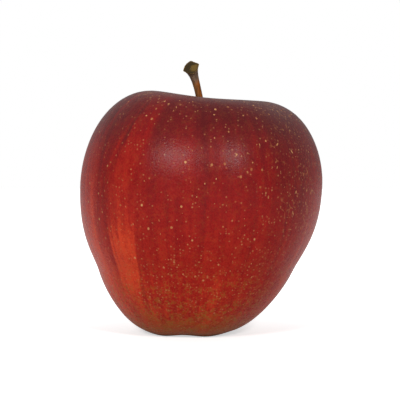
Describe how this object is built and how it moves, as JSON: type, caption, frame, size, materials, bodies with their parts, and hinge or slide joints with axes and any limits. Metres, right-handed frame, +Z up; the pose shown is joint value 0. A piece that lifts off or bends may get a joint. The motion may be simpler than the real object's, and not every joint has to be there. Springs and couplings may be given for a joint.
{
  "type": "red apple",
  "caption": "Whole ripe red apple with a leaning stem and a dried calyx, standing on its lobed calyx end.",
  "frame": {"origin": "middle of the footprint, on the surface that the apple stands on", "axes": "+Z up from the calyx end to the stem, -Y towards the viewer of the streaked side, +X to that viewer's right"},
  "size_m": [0.0756, 0.0756, 0.0854],
  "materials": {
    "skin": "thin waxy skin, deep red with orange streaks and tan lenticels, soft gloss",
    "stem_bark": "dry brown bark, matt, olive-brown at the scar",
    "dried_calyx": "dry papery brown sepals, matt"
  },
  "bodies": {
    "root": {"fruit": "skin", "stem": "stem_bark", "calyx": "dried_calyx"}
  },
  "joints": []
}
